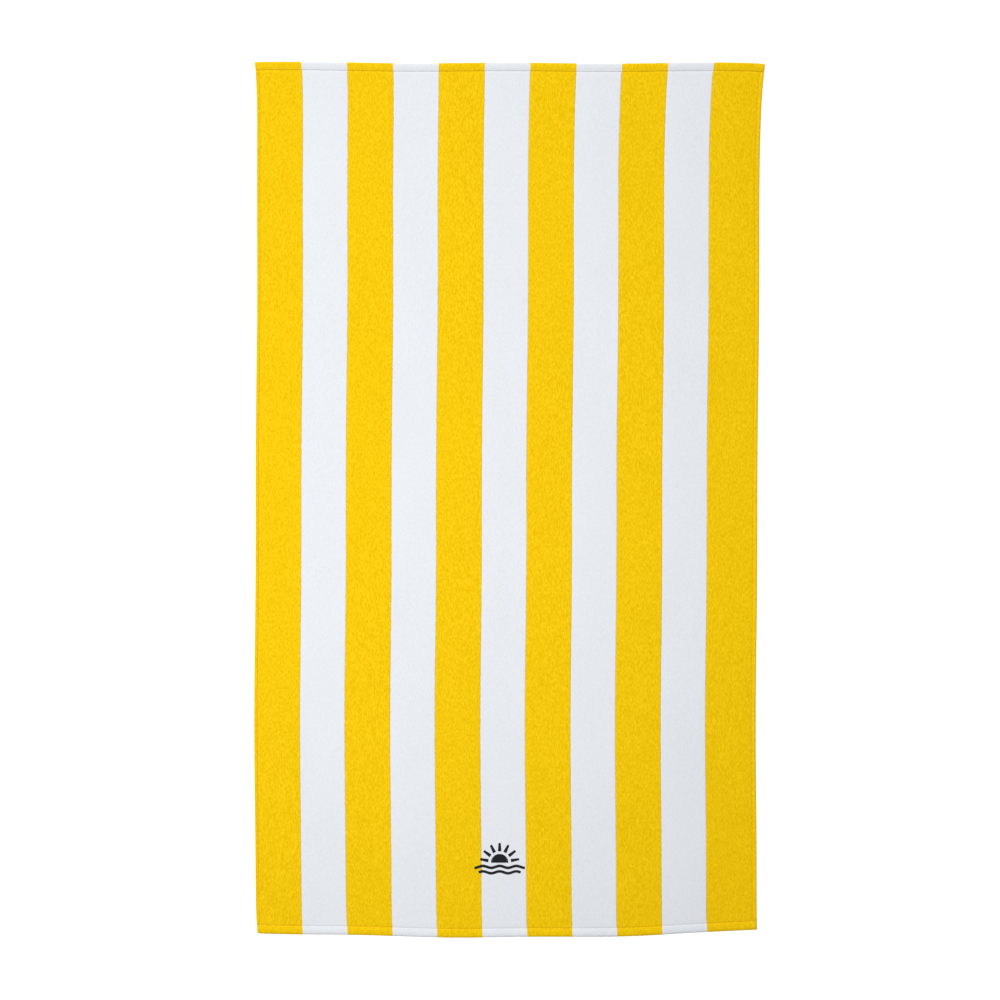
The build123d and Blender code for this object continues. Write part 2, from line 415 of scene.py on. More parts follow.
def round_tube(path, radius, around):
    """Rings of a round thread along paths of points, [tube, station, xyz], kept upright."""
    ahead = np.gradient(path, axis=1)
    ahead /= np.linalg.norm(ahead, axis=-1, keepdims=True)
    aside = np.cross(ahead, np.array([0.0, 0.0, 1.0]))
    aside /= np.linalg.norm(aside, axis=-1, keepdims=True)
    up = np.cross(aside, ahead)
    turn = np.linspace(0, 2 * math.pi, around, endpoint=False)
    ring = np.cos(turn)[:, None] * aside[..., None, :] + np.sin(turn)[:, None] * up[..., None, :]
    return path[..., None, :] + np.asarray(radius)[..., None, None] * ring


# ---------------------------------------------------------------- piles and ground cloth


def stripe_name(face, i):
    """The name of a stripe's pile: yellow and white take turns, starting with yellow."""
    colour = "white" if i % 2 else "yellow"
    return f"{face}_pile_{colour}_{i // 2 + 1}"


def stripe_limits(i):
    """The warps that stripe i's pile lies between, inside the side seams."""
    left = max(STRIPE_EDGES[i], SIDE_FIELD - HALF)
    right = min(STRIPE_EDGES[i + 1], HALF - SIDE_FIELD)
    return left, right


def edge_lumps(edge, v, along, seed):
    """Soft random lumps along a stripe's edge, the same for both its neighbours."""
    return lumps(edge + 0 * v, v, 1.0, along, seed)


def boundary_wander(edge, v):
    """How far the yarns at a stripe's edge wander to the side along it; both neighbours share it."""
    if at_side_seam(edge):
        return np.zeros_like(v)
    return bpy.context.scene.towel_cloth.wander * edge_lumps(edge, v, WANDER_SIZE, WANDER_SEED)


def at_side_seam(edge):
    """Whether a pile's edge lies at a side seam, not between two stripes."""
    return abs(edge) > HALF - SIDE_HEM * 2


def parting(edge, v):
    """How far a stripe's pile stands back from its neighbour's; it opens and closes along them."""
    swing = PARTING_SWING * edge_lumps(edge, v, PARTING_SIZE, PARTING_SEED)
    open_here = np.clip(PARTING_MIDDLE + swing, 0, 1)
    uneven = 1 - UNEVEN_PARTING + UNEVEN_PARTING * edge_lumps(edge, v, UNEVEN_SIZE, UNEVEN_SEED)
    return bpy.context.scene.towel_cloth.parting * open_here * uneven


def seam_closing(along):
    """How far a pile closes over a seam beside it, least at the needle holes."""
    return bpy.context.scene.towel_cloth.overhang * (1 - PULL_OPENING * stitch_pull(along))


def pile_grid(left, right, low, high, across, along):
    """The (s, v) grid of a stripe's pile, its edges wandering, parting and closing over seams."""
    s = graded(left, right, across)
    v = graded(low, high, along)[:, None]
    near_left = np.exp(-(s - left) / WANDER_REACH)
    near_right = np.exp(-(right - s) / WANDER_REACH)
    shift = near_left * boundary_wander(left, v) + near_right * boundary_wander(right, v)
    out_left = seam_closing(v) if at_side_seam(left) else -parting(left, v)
    out_right = seam_closing(v) if at_side_seam(right) else -parting(right, v)
    shift = shift + out_right * (s == right) - out_left * (s == left)
    along_shift = seam_closing(s) * ((v == high).astype(float) - (v == low))
    return s, v, s + shift, v + along_shift


def seam_dip(distance, along):
    """How far a pile sinks at a distance from a seam: a steep lip, and a broad dent round it."""
    cloth = bpy.context.scene.towel_cloth
    lip = dip(distance, cloth.seam_dip, cloth.seam_reach) * (0.8 + PULL_DIP * stitch_pull(along))
    return lip + dip(distance, cloth.seam_dent, cloth.dent_reach)


def pile_dip(s, v, left, right):
    """How far a stripe's pile rounds down beside its neighbours and the seams round it."""
    cloth = bpy.context.scene.towel_cloth
    down = np.zeros(np.broadcast_shapes(s.shape, v.shape))
    for wall, distance in ((left, s - left), (right, right - s)):
        if at_side_seam(wall):
            down = np.maximum(down, seam_dip(distance, v))
        else:
            down = np.maximum(down, dip(distance, cloth.stripe_dip, cloth.stripe_reach))
    for distance in (v - END_FIELD, LENGTH - END_FIELD - v):
        down = np.maximum(down, seam_dip(distance, s))
    return down


def pile_relief(s, v, seed):
    """How the tips of a pile stand in clumps, from -1 to 1."""
    cloth = bpy.context.scene.towel_cloth
    wide, long = cloth.clump, cloth.clump * 2
    coarse = lumps(s, v, wide * 2, long * 2, seed)
    fine = lumps(s, v, wide, long, seed + 1)
    return (1 - FINE_CLUMPS) * coarse + FINE_CLUMPS * fine


def pile_foot(left, right, v):
    """The warps that a stripe's pile is rooted between, the right one first."""
    feet = [edge + boundary_wander(edge, v) for edge in (right, left)]
    return np.concatenate(feet, axis=1)


def face_pile(i):
    """Stripe i's cut pile, on top of the ground cloth."""
    cloth = bpy.context.scene.towel_cloth
    left, right = stripe_limits(i)
    low, high = END_FIELD, LENGTH - END_FIELD
    s, v, moved_s, moved_v = pile_grid(left, right, low, high, cloth.face_pitch, cloth.face_step)
    height = FACE_HIGH - pile_dip(s, v, left, right)
    height = height + cloth.face_relief * pile_relief(s, v, FACE_SEED)
    top = place(moved_s, moved_v, height)
    bottom = place(pile_foot(left, right, v), v, GROUND_HIGH)
    return sweep(np.concatenate([top, bottom], axis=1)[None])


def inside_motif(s, v, margin, soft):
    """1 within margin of the stabiliser's rectangle, falling to 0 over a soft edge outside it."""
    x, y, _ = np.moveaxis(place(s, v, 0.0) - motif_place(), -1, 0)
    left, bottom, right, top = backing_box()
    outside = np.maximum(np.maximum(left - x, x - right), np.maximum(bottom - y, y - top))
    return np.clip(1 - (outside - margin) / soft, 0, 1)


def under_label(s, v, margin, soft):
    """1 within margin of the care label, falling to 0 over a soft edge outside it."""
    across = np.maximum(LABEL_ACROSS - s, s - LABEL_ACROSS - LABEL_WIDTH)
    along = v - END_FIELD - LABEL_LENGTH
    return np.clip(1 - (np.maximum(across, along) - margin) / soft, 0, 1)


def back_pile(i):
    """Stripe i's looped pile, below the ground cloth, dented by the embroidery and the label."""
    cloth = bpy.context.scene.towel_cloth
    left, right = stripe_limits(i)
    low, high = END_FIELD, LENGTH - END_FIELD
    s, v, moved_s, moved_v = pile_grid(left, right, low, high, cloth.back_pitch, cloth.back_pitch)
    height = pile_dip(s, v, left, right) * BACK_DIP
    height = height + cloth.back_relief * (1 + pile_relief(s, v, BACK_SEED))
    soft = cloth.back_pitch
    for high_here, inside in ((BACKING_HIGH, inside_motif), (LABEL_HIGH, under_label)):
        height = np.maximum(height, (high_here + BACK_CLEARANCE) * inside(s, v, soft, 2 * soft))
    bottom = place(moved_s, moved_v, height)
    top = place(pile_foot(left, right, v), v, GROUND_LOW)
    return sweep(np.concatenate([bottom, top], axis=1)[None])


def ground_sheet():
    """The woven ground, out to the four hems."""
    pitch = bpy.context.scene.towel_cloth.ground_pitch
    s = graded(SIDE_WALL - HALF, HALF - SIDE_WALL, pitch)
    v = graded(END_WALL, LENGTH - END_WALL, pitch)[:, None]
    top = place(s, v, GROUND_HIGH)
    bottom = place(s[::-1], v, GROUND_LOW)
    return sweep(np.concatenate([top, bottom], axis=1)[None])


# ---------------------------------------------------------------- hems


def hem_ring(width, crest):
    """(distance in, height) round a turned hem: outer roll, sloping top, seam drop, underside."""
    sewing, cloth = bpy.context.scene.towel_sewing, bpy.context.scene.towel_cloth
    roll = width * sewing.hem_roll
    turn = np.linspace(-math.pi / 2, math.pi / 2, 15)
    rise = np.where(turn < 0, HEM_BELLY, crest - HEM_BELLY)
    outer = np.stack([roll * (1 - np.cos(turn)), HEM_BELLY + rise * np.sin(turn)], axis=-1)
    across = np.linspace(0, 1, 7)[1:]
    shoulder = width - sewing.hem_drop
    low = crest - sewing.hem_fall * (shoulder - roll)
    slope = crest + (low - crest) * across**CREST_BEND
    flat = np.stack([roll + (shoulder - roll) * across, slope], axis=-1)
    fall = np.linspace(0, math.pi / 2, 8)[1:]
    lip = width + cloth.overhang
    foot = FACE_HIGH - cloth.seam_dip - cloth.seam_dent - SEAM_STEP
    inward, drop = shoulder + (lip - shoulder) * np.sin(fall), foot + (low - foot) * np.cos(fall)
    down = np.stack([inward, drop], axis=-1)
    under = [(width, GROUND_HIGH), (width, 0.0)]
    under += [(roll + (width - roll) * share, 0.0) for share in (0.66, 0.33)]
    return np.concatenate([outer, flat, down, under])


def hem_height(ring, width, along, s, v):
    """The heights of a hem's rings along it: stitch dimples, puckers and soft lumps."""
    sewing = bpy.context.scene.towel_sewing
    away, height = ring[:, 0], ring[:, 1]
    above = np.clip(height / HEM_HIGH * 2 - 0.6, 0, 1)
    near_seam = np.exp(-(((width - away) / DIMPLE_REACH) ** 2))
    pulled = sewing.dimple * near_seam * stitch_pull(along)
    puckers = lumps(s, v, PUCKER_SIZE, PUCKER_SIZE, PUCKER_SEED)
    pucker = sewing.pucker * puckers * (1 - near_seam)
    grain = sewing.hem_relief * lumps(s, v, HEM_GRAIN_SIZE, HEM_GRAIN_SIZE, HEM_GRAIN_SEED)
    return height - above * (pulled - pucker - grain)


def stations_between(low, high, pitch, keep=()):
    """Evenly spaced stations from low to high, with the ones that must be kept put in."""
    even = np.linspace(low, high, round((high - low) / pitch) + 1)
    keep = np.array(keep)
    near = np.zeros(len(even), bool)
    for station in keep:
        near |= np.abs(even - station) < pitch * 0.4
    near[[0, -1]] = False
    return np.sort(np.concatenate([even[~near], keep]))


def end_hem(top):
    """The hem across one end, rounded off at both corners, and its faces' stripe colours."""
    sewing = bpy.context.scene.towel_sewing
    ring = hem_ring(END_WALL, sewing.hem_crest)
    pitch = sewing.seam_stitch / 4
    first = HEM_CORNER * 0.05
    s = stations_between(first - HALF, HALF - first, pitch, STRIPE_EDGES[1:-1])[:, None]
    away = ring[:, 0][None]
    inside = np.clip((HALF - np.abs(s)) / HEM_CORNER, 0, 1)
    full = np.sqrt(1 - (1 - inside) ** 2)
    middle = END_WALL / 2
    away = middle + (away - middle) * (1 - CORNER_NARROWING + CORNER_NARROWING * full)
    v = LENGTH - away if top else away
    height = hem_height(ring, END_WALL, s, s, v)
    height = HEM_BELLY + (height - HEM_BELLY) * full
    part = sweep(place(s, v, height)[None])
    between = (s[1:, 0] + s[:-1, 0]) / 2
    stripe = np.searchsorted(STRIPE_EDGES, between) - 1
    paint = np.concatenate([np.repeat(stripe % 2, len(ring)), [0, 0]])
    return part, paint


def side_hem(side):
    """The hem along one side, -1 for the left and 1 for the right, pinned down at the end seams."""
    sewing = bpy.context.scene.towel_sewing
    ring = hem_ring(SIDE_WALL, sewing.side_crest)
    v = stations_between(END_WALL, LENGTH - END_WALL, sewing.seam_stitch / 4)[:, None]
    s = side * (HALF - ring[:, 0][None])
    height = hem_height(ring, SIDE_WALL, v, s, v)
    ends = np.minimum(v - END_HEM, LENGTH - END_HEM - v)
    pinned = np.exp(-((ends / PINCH_REACH) ** 2))
    height = height * (1 - SEAM_PINCH * pinned * (height > GROUND_HIGH))
    return sweep(place(s, v, height)[None])


# ---------------------------------------------------------------- seam threads


def seam_thread(edge, on_face):
    """The needle thread or the bobbin thread of one hem's seam: flat, and down into each hole."""
    sewing = bpy.context.scene.towel_sewing
    stitch, radius = sewing.seam_stitch, sewing.seam_thread / 2
    along_side = edge in ("left", "right")
    if along_side:
        run = stations_between(END_FIELD, LENGTH - END_FIELD, stitch / 6)
        line = (HALF - SIDE_HEM) * (-1 if edge == "left" else 1)
    else:
        run = stations_between(SIDE_WALL - HALF, HALF - SIDE_WALL, stitch / 6)
        line = END_HEM if edge == "bottom" else LENGTH - END_HEM
    low = GROUND_HIGH - radius if on_face else GROUND_LOW + radius
    lift = 2.1 * radius if on_face else -2.1 * radius
    height = low + lift * np.abs(np.sin(math.pi * run / stitch)) ** 0.5
    line = line + THREAD_SWAY * np.sin(2 * math.pi * run / (stitch * THREAD_SWAY_STITCHES))
    path = place(line, run, height) if along_side else place(run, line, height)
    return sweep(round_tube(path[None], np.full((1, len(run)), radius), THREAD_SIDES))


# ---------------------------------------------------------------- embroidery


def motif_place():
    """The middle of the embroidery, at the height of the cloth's underside there."""
    return place(MOTIF_ACROSS, MOTIF_ALONG, 0.0)


def backing_box():
    """The stabiliser's left, bottom, right and top, from the middle of the embroidery."""
    width = MOTIF_WIDTH + 2 * BACKING_MARGIN
    bottom = HORIZON - WAVE_DROP - WAVE_PITCH * (WAVE_COUNT - 0.5) - BACKING_MARGIN
    return -width / 2, bottom, width / 2, HORIZON + RAY_OUTER + BACKING_MARGIN


def wave_line(i, x):
    """The height up the motif of the middle of wave i at x, and the wave's slope there."""
    middle = HORIZON - WAVE_DROP - WAVE_PITCH * i
    turn = 2 * math.pi * x / WAVE_LENGTH
    slope = -WAVE_HEIGHT * 2 * math.pi / WAVE_LENGTH * np.sin(turn)
    return middle + WAVE_HEIGHT * np.cos(turn), slope


def wave_spans(i, pitch):
    """The two ends of each satin stitch across wave i."""
    half = (MOTIF_WIDTH - WAVE_SHORTER * i) / 2
    x = np.linspace(-half, half, round(2 * half / pitch) + 1)
    y, slope = wave_line(i, x)
    lean = np.stack([-slope, np.ones_like(slope)], axis=-1)
    lean /= np.linalg.norm(lean, axis=-1, keepdims=True)
    middle = np.stack([x, y], axis=-1)
    return middle - lean * WAVE_WIDTH / 2, middle + lean * WAVE_WIDTH / 2


def ray_spans(i, pitch):
    """The two ends of each satin stitch across ray i."""
    turn = math.asin(RAY_WIDTH / 2 / RAY_INNER)
    angle = turn + i * (math.pi - 2 * turn) / (RAY_COUNT - 1)
    out = np.linspace(RAY_INNER, RAY_OUTER, round((RAY_OUTER - RAY_INNER) / pitch) + 1)
    half = RAY_WIDTH / 2 * (1 - (1 - RAY_TIP) * (out - RAY_INNER) / (RAY_OUTER - RAY_INNER))
    along = np.array([math.cos(angle), math.sin(angle)])
    aside = np.array([-math.sin(angle), math.cos(angle)])
    middle = out[:, None] * along + np.array([0, HORIZON])
    return middle - half[:, None] * aside, middle + half[:, None] * aside


def sun_rows(pitch):
    """The two ends of each row of fill stitches across the half disc."""
    up = np.linspace(pitch / 2, SUN_RADIUS - pitch, round(SUN_RADIUS / pitch))
    half = np.sqrt(SUN_RADIUS**2 - up**2)
    y = HORIZON + up
    return np.stack([-half, y], axis=-1), np.stack([half, y], axis=-1)


def fill_stitches(starts, ends, length):
    """Rows cut into stitches of about one length, the cuts stepping from row to row."""
    first, last = [], []
    for row, (start, end) in enumerate(zip(starts, ends)):
        span = np.linalg.norm(end - start)
        cuts = np.arange((row % 3) / 3 * length, span, length)
        shortest = length * SHORTEST_CUT
        cuts = cuts[(cuts > shortest) & (cuts < span - shortest)]
        cuts = np.concatenate([[0], cuts, [span]]) / span
        points = start + cuts[:, None] * (end - start)
        first.append(points[:-1])
        last.append(points[1:])
    return np.concatenate(first), np.concatenate(last)


def stitch_rings(starts, ends, base, lift, radius):
    """Rings of arched stitches between pairs of needle holes; a negative lift hangs below."""
    steps = np.linspace(0, 1, 7)
    arch = np.sin(math.pi * steps) ** 0.6
    middle = motif_place()
    flat = starts[:, None] + steps[None, :, None] * (ends - starts)[:, None]
    height = np.broadcast_to(base + lift * arch + middle[2], flat.shape[:2])
    path = np.concatenate([flat + middle[:2], height[..., None]], axis=-1)
    thin = radius * (1 - STITCH_TAPER + STITCH_TAPER * arch)
    return round_tube(path, np.broadcast_to(thin, path.shape[:2]), 6)


def padding(starts, ends, low, lift, margin):
    """A domed pad under a run of stitches, a little narrower than they are."""
    turn = np.linspace(0, math.pi, 9)
    middle, reach = (starts + ends) / 2, (ends - starts) / 2
    shrink = 1 - margin / np.linalg.norm(reach, axis=-1, keepdims=True)
    reach = reach * np.clip(shrink, 0.2, 1)
    flat = middle[:, None] - np.cos(turn)[None, :, None] * reach[:, None]
    origin = motif_place()
    height = np.broadcast_to(low + lift * np.sin(turn) + origin[2], flat.shape[:2])
    rings = np.concatenate([flat + origin[:2], height[..., None]], axis=-1)
    return sweep(rings[None])


def motif_part(name):
    """The stitch ends and the pad spans of one part of the motif."""
    pitch = bpy.context.scene.towel_embroidery.stitch_pitch
    if name == "sun":
        rows = sun_rows(pitch)
        return fill_stitches(*rows, bpy.context.scene.towel_embroidery.fill_stitch), [rows]
    if name == "rays":
        spans = [ray_spans(i, pitch) for i in range(RAY_COUNT)]
    else:
        spans = [wave_spans(i, pitch) for i in range(WAVE_COUNT)]
    starts, ends = zip(*spans)
    return (np.concatenate(starts), np.concatenate(ends)), spans


def embroidered(name):
    """The swept parts of one part of the motif: the pads and all the stitches over them."""
    thread = bpy.context.scene.towel_embroidery.thread / 2
    (starts, ends), spans = motif_part(name)
    lift = STITCH_HIGH - FACE_HIGH
    low = FACE_HIGH - lift * STITCH_SINK
    pads = [padding(*span, low, lift * PAD_CROWN, thread) for span in spans]
    high = STITCH_HIGH - thread
    rise = high - low - STITCH_CLEARANCE
    rings = stitch_rings(starts, ends, low + STITCH_CLEARANCE, rise, thread)
    return pads + [sweep(rings)]


def bobbin_fill():
    """The swept parts of the embroidery's bobbin side, hanging below the stabiliser."""
    thread = bpy.context.scene.towel_embroidery.bobbin_thread / 2
    parts = []
    for name in ("sun", "rays", "waves"):
        starts, ends = motif_part(name)[0]
        base = BOBBIN_HIGH - thread
        rings = stitch_rings(starts[::2], ends[::2], base, thread * 1.5 - base, thread)
        parts.append(sweep(rings))
    return parts


def backing_sheet():
    """The stabiliser, trimmed with rounded corners and not quite flat."""
    left, bottom, right, top = backing_box()
    y = np.linspace(bottom, top, 41)
    near = np.clip(np.minimum(y - bottom, top - y) / BACKING_CORNER, 0, 1)
    inset = BACKING_CORNER * (1 - np.sqrt(1 - (1 - near) ** 2))
    f = np.linspace(0, 1, 57)
    x = left + inset[:, None] + f * (right - left - 2 * inset[:, None])
    y = np.broadcast_to(y[:, None], x.shape)
    crinkle = BACKING_CRINKLE * lumps(x, y, CRINKLE_SIZE, CRINKLE_SIZE, CRINKLE_SEED)
    upper = np.stack([x, y, BACKING_HIGH - BACKING_CRINKLE + crinkle], axis=-1)
    lower = np.stack([x, y, BOBBIN_HIGH + BACKING_CRINKLE + crinkle], axis=-1)
    rings = np.concatenate([upper, lower[:, ::-1]], axis=1) + motif_place()
    return sweep(rings[None])


# ---------------------------------------------------------------- care label


def label_tape():
    """A blank woven tape folded in two, its fold away from the hem that it is sewn under."""
    tape = LABEL_HIGH * TAPE_SHARE
    high, low = LABEL_HIGH - tape / 2, tape / 2
    bend = (high - low) / 2
    along = np.linspace(0, LABEL_LENGTH - bend - tape / 2, 24)
    turn = np.linspace(-math.pi / 2, math.pi / 2, 9)
    fold = np.stack([along[-1] + bend * np.cos(turn), bend + low + bend * np.sin(turn)], axis=-1)
    out = np.stack([along[:-1], np.full(len(along) - 1, low)], axis=-1)
    back = np.stack([along[:-1], np.full(len(along) - 1, high)], axis=-1)[::-1]
    line = np.concatenate([out, fold, back])
    ahead = np.gradient(line, axis=0)
    ahead /= np.linalg.norm(ahead, axis=-1, keepdims=True)
    side = np.stack([-ahead[:, 1], ahead[:, 0]], axis=-1) * tape / 2
    ring = np.concatenate([line + side, (line - side)[::-1]])
    s = np.linspace(LABEL_ACROSS, LABEL_ACROSS + LABEL_WIDTH, 20)[:, None]
    return sweep(place(s, END_FIELD + ring[:, 0], ring[:, 1])[None])


# ---------------------------------------------------------------- node groups


def feed(tree, socket, value):
    """Gives a socket another node's output, a colour or a plain value."""
    if isinstance(value, bpy.types.NodeSocket):
        tree.links.new(value, socket)
    elif socket.type == "RGBA":
        socket.default_value = (*value, 1.0)
    else:
        socket.default_value = value


def add_node(tree, kind, inputs, output, **options):
    """Adds a node with options and fed inputs, and gives one of its outputs."""
    node = tree.nodes.new(f"ShaderNode{kind}")
    for option, value in options.items():
        setattr(node, option, value)
    for key, value in inputs.items():
        feed(tree, node.inputs[key], value)
    return node.outputs[output]


def math_node(tree, operation, *values):
    """A math node fed by sockets or numbers."""
    return add_node(tree, "Math", dict(enumerate(values)), "Value", operation=operation)


def stretched(tree, vector, scale):
    """The vector with its three parts scaled apart."""
    return add_node(tree, "VectorMath", {0: vector, 1: scale}, "Vector", operation="MULTIPLY")


def noise(tree, vector, scale, detail, roughness, distortion=0.0):
    """A noise texture's value; the scale may be a socket or a number."""
    inputs = {"Vector": vector, "Scale": scale, "Detail": detail}
    inputs |= {"Roughness": roughness, "Distortion": distortion}
    return add_node(tree, "TexNoise", inputs, "Fac")


def blended(tree, factor, dark, light):
    """A colour that runs from dark to light with the factor."""
    return add_node(tree, "Mix", {"Factor": factor, 6: dark, 7: light}, 2, data_type="RGBA")


def multiplied(tree, colour, shade):
    """A colour darkened by a shade."""
    inputs = {"Factor": 1.0, 6: colour, 7: shade}
    return add_node(tree, "Mix", inputs, 2, data_type="RGBA", blend_type="MULTIPLY")


def spread_out(tree, value, low, high):
    """The part of a value between low and high, spread over 0 to 1."""
    return add_node(tree, "MapRange", {"Value": value, "From Min": low, "From Max": high}, "Result")


def raised(tree, shader, height, distance, strength):
    """Bump on a shader from a height."""
    inputs = {"Strength": strength, "Distance": distance, "Height": height}
    feed(tree, shader.inputs["Normal"], add_node(tree, "Bump", inputs, "Normal"))


def group_tree(name, sizes, outputs):
    """A new shader group that takes a vector and sizes; gives its tree, inputs and outputs."""
    tree = bpy.data.node_groups.new(name, "ShaderNodeTree")
    tree.interface.new_socket("Vector", in_out="INPUT", socket_type="NodeSocketVector")
    for label, default in sizes.items():
        socket = tree.interface.new_socket(label, in_out="INPUT", socket_type="NodeSocketFloat")
        socket.default_value = default
    for label in outputs:
        tree.interface.new_socket(label, in_out="OUTPUT", socket_type="NodeSocketFloat")
    given, result = tree.nodes.new("NodeGroupInput"), tree.nodes.new("NodeGroupOutput")
    return tree, given.outputs, result.inputs


def terry_grain_group():
    """Yarn tufts, and the worm-like clumps that they lean together in."""
    sizes = {"Tuft Size": 1.5 * MM, "Clump Size": 2.0 * MM}
    tree, given, result = group_tree("Terry Grain", sizes, ("Tufts", "Clumps"))
    upright = stretched(tree, given["Vector"], (1.0, 0.7, 1.0))
    tuft_scale = math_node(tree, "DIVIDE", 1.0, given["Tuft Size"])
    clump_scale = math_node(tree, "DIVIDE", 1.0, given["Clump Size"])
    inputs = {"Vector": upright, "Scale": tuft_scale, "Smoothness": 0.6}
    cells = add_node(tree, "TexVoronoi", inputs, "Distance", feature="SMOOTH_F1")
    rounded = math_node(tree, "SUBTRACT", 1.0, cells)
    fibres = noise(tree, upright, math_node(tree, "MULTIPLY", tuft_scale, 3.0), 2.0, 0.6)
    tufts = math_node(tree, "MULTIPLY", rounded, math_node(tree, "ADD", fibres, 0.5))
    feed(tree, result["Tufts"], tufts)
    lengthwise = stretched(tree, given["Vector"], (1.0, 0.28, 1.0))
    feed(tree, result["Clumps"], noise(tree, lengthwise, clump_scale, 1.0, 0.5, 0.2))


def nap_shade_group():
    """Broad, faint patches of painted shade where the nap leans another way."""
    tree, given, result = group_tree("Nap Shade", {"Patch Size": 90 * MM}, ("Drift",))
    along = stretched(tree, given["Vector"], (1.0, 0.45, 1.0))
    scale = math_node(tree, "DIVIDE", 1.0, given["Patch Size"])
    feed(tree, result["Drift"], noise(tree, along, scale, 3.0, 0.5))


def thread_twist_group():
    """The slanting plies of a twisted thread."""
    tree, given, result = group_tree("Thread Twist", {"Ply Size": 0.4 * MM}, ("Plies",))
    scale = math_node(tree, "DIVIDE", 0.3, given["Ply Size"])
    inputs = {"Vector": given["Vector"], "Scale": scale, "Distortion": 1.5}
    plies = add_node(tree, "TexWave", inputs, "Fac", bands_direction="DIAGONAL")
    feed(tree, result["Plies"], plies)


def plain_weave_group():
    """Over-and-under threads of a plain woven cloth."""
    tree, given, result = group_tree("Plain Weave", {"Thread Size": 0.5 * MM}, ("Threads",))
    apart = tree.nodes.new("ShaderNodeSeparateXYZ")
    feed(tree, apart.inputs["Vector"], given["Vector"])
    turn = math_node(tree, "DIVIDE", math.pi, given["Thread Size"])
    warp, weft = (
        math_node(tree, "SINE", math_node(tree, "MULTIPLY", apart.outputs[axis], turn)) for axis in "XY"
    )
    crossed = math_node(tree, "MULTIPLY", warp, weft)
    feed(tree, result["Threads"], math_node(tree, "MULTIPLY_ADD", crossed, 0.5, 0.5))


def make_groups():
    """Builds each shared shader group once."""
    if "Terry Grain" not in bpy.data.node_groups:
        terry_grain_group()
        nap_shade_group()
        thread_twist_group()
        plain_weave_group()


# ---------------------------------------------------------------- materials


def fresh_material(name, roughness, sheen=0.0):
    """A new node material: its tree, its Principled shader and its object coordinates."""
    make_groups()
    material = bpy.data.materials.new(name)
    material.use_nodes = True
    tree = material.node_tree
    shader = tree.nodes["Principled BSDF"]
    inputs = {"Roughness": roughness, "Specular IOR Level": 0.05}
    inputs |= {"Sheen Weight": sheen, "Sheen Roughness": 0.5}
    for label, value in inputs.items():
        feed(tree, shader.inputs[label], value)
    coordinates = tree.nodes.new("ShaderNodeTexCoord").outputs["Object"]
    return material, tree, shader, coordinates


def placed_group(tree, name, vector, **values):
    """A shared group placed in a material, with its own values."""
    node = tree.nodes.new("ShaderNodeGroup")
    node.node_tree = bpy.data.node_groups[name]
    feed(tree, node.inputs["Vector"], vector)
    for label, value in values.items():
        feed(tree, node.inputs[label.replace("_", " ")], value)
    return node.outputs


def shaded(colour, amount):
    """The colour made lighter or darker by a fraction."""
    return tuple(min(1.0, c * (1 + amount)) for c in colour)


def terry_material(name, colour, depth, tuft, bump):
    """Terry pile: its colour runs from the clumps' shaded depth to their lighter tips, random tone and
    painted shade in one, with painted shade in the nap's patches and the gaps between tufts.
    """
    material, tree, shader, coordinates = fresh_material(name, 0.95, 0.03)
    feed(tree, shader.inputs["Sheen Tint"], colour)
    grain = placed_group(tree, "Terry Grain", coordinates, Tuft_Size=tuft, Clump_Size=tuft * 1.2)
    nap = placed_group(tree, "Nap Shade", coordinates)
    tips = tuple(min(1.0, 2 * c - d) for c, d in zip(colour, depth))
    # Partly random tone, partly painted shade: darker where the clumps sink, lighter on their tips.
    body = blended(tree, spread_out(tree, grain["Clumps"], 0.32, 0.68), depth, tips)
    drifted = spread_out(tree, nap["Drift"], 0.3, 0.7)
    gaps = spread_out(tree, grain["Tufts"], 0.15, 0.55)
    # Painted shade: darker in the nap's patches and in the gaps between the tufts.
    for factor, dark in ((drifted, NAP_PAINTED_SHADE), (gaps, GAP_PAINTED_SHADE)):
        body = multiplied(tree, body, blended(tree, factor, (dark,) * 3, (1.0,) * 3))
    feed(tree, shader.inputs["Base Color"], body)
    height = math_node(tree, "MULTIPLY_ADD", grain["Clumps"], 0.8, grain["Tufts"])
    raised(tree, shader, height, bump, 0.6)
    return material


def two_tone(tree, shader, factor, dark, light, bump):
    """A base colour that runs from dark to light with the factor, and a bump from it if asked."""
    feed(tree, shader.inputs["Base Color"], blended(tree, factor, dark, light))
    if bump:
        raised(tree, shader, factor, bump, 0.5)


def thread_material(name, colour, roughness, ply, bump):
    """Twisted thread with slanting plies."""
    material, tree, shader, coordinates = fresh_material(name, roughness)
    plies = placed_group(tree, "Thread Twist", coordinates, Ply_Size=ply)["Plies"]
    # Painted shade in the grooves between the plies and a painted highlight on their crowns.
    two_tone(tree, shader, plies, shaded(colour, -0.25), shaded(colour, 0.15), bump)
    return material


def woven_material(name, colour, thread, roughness, bump):
    """Plain woven cloth or tape."""
    material, tree, shader, coordinates = fresh_material(name, roughness)
    threads = placed_group(tree, "Plain Weave", coordinates, Thread_Size=thread)["Threads"]
    # Painted shade where the threads dip under each other, a slight painted highlight where they cross
    # over.
    two_tone(tree, shader, threads, shaded(colour, -0.12), shaded(colour, 0.04), bump)
    return material


def felt_material(name, colour):
    """Pressed fibres, as in a stabiliser."""
    material, tree, shader, coordinates = fresh_material(name, 0.9)
    fibres = noise(tree, coordinates, 1 / (0.9 * MM), 4.0, 0.7)
    tone = blended(tree, spread_out(tree, fibres, 0.3, 0.7), shaded(colour, -0.1), colour)
    feed(tree, shader.inputs["Base Color"], tone)
    raised(tree, shader, fibres, 0.1 * MM, 0.5)
    return material


def kept_material(name, make, *values):
    """The named material, made the first time it is asked for."""
    found = bpy.data.materials.get(name)
    return found if found else make(name, *values)


